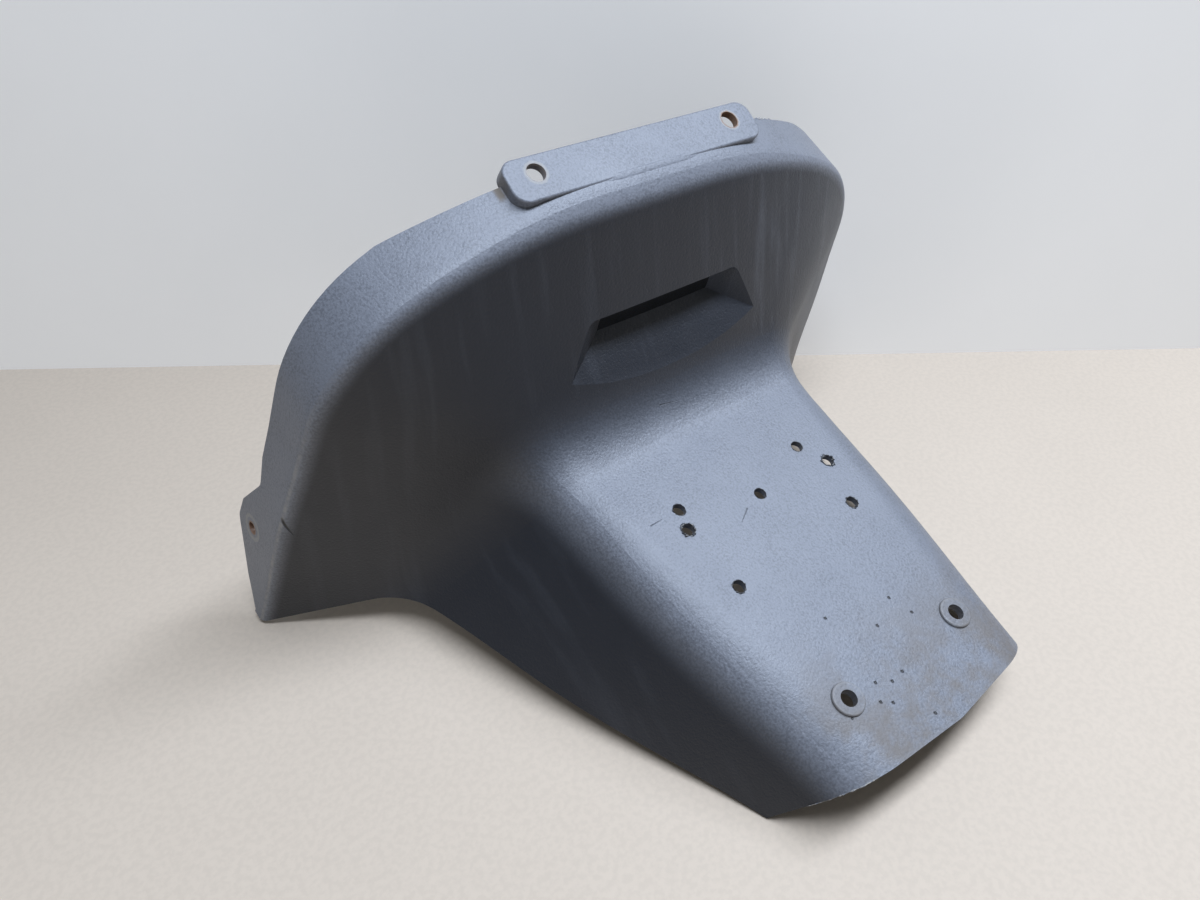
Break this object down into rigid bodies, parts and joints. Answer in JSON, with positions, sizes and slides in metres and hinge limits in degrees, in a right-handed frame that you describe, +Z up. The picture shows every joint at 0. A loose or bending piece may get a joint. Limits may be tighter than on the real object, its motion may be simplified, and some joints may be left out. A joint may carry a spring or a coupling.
{
  "type": "rear splash guard",
  "caption": "Moulded plastic rear splash guard for a scooter or motorbike: an arched face with a lamp window, a back flange with a mounting tab, and a long plate-holder tongue.",
  "frame": {"origin": "middle of the bounding box's base, on the floor that the guard stands on", "axes": "+X across the guard to its right, +Y from the tongue's end back towards the flange, +Z up from the floor; the guard stands on its two wing tips and the tongue's two end corners, as in the picture"},
  "size_m": [0.322, 0.2274, 0.1777],
  "materials": {
    "moulding": "grained, worn, charcoal grey"
  },
  "bodies": {
    "root": {"splash_guard": "moulding"}
  },
  "joints": []
}
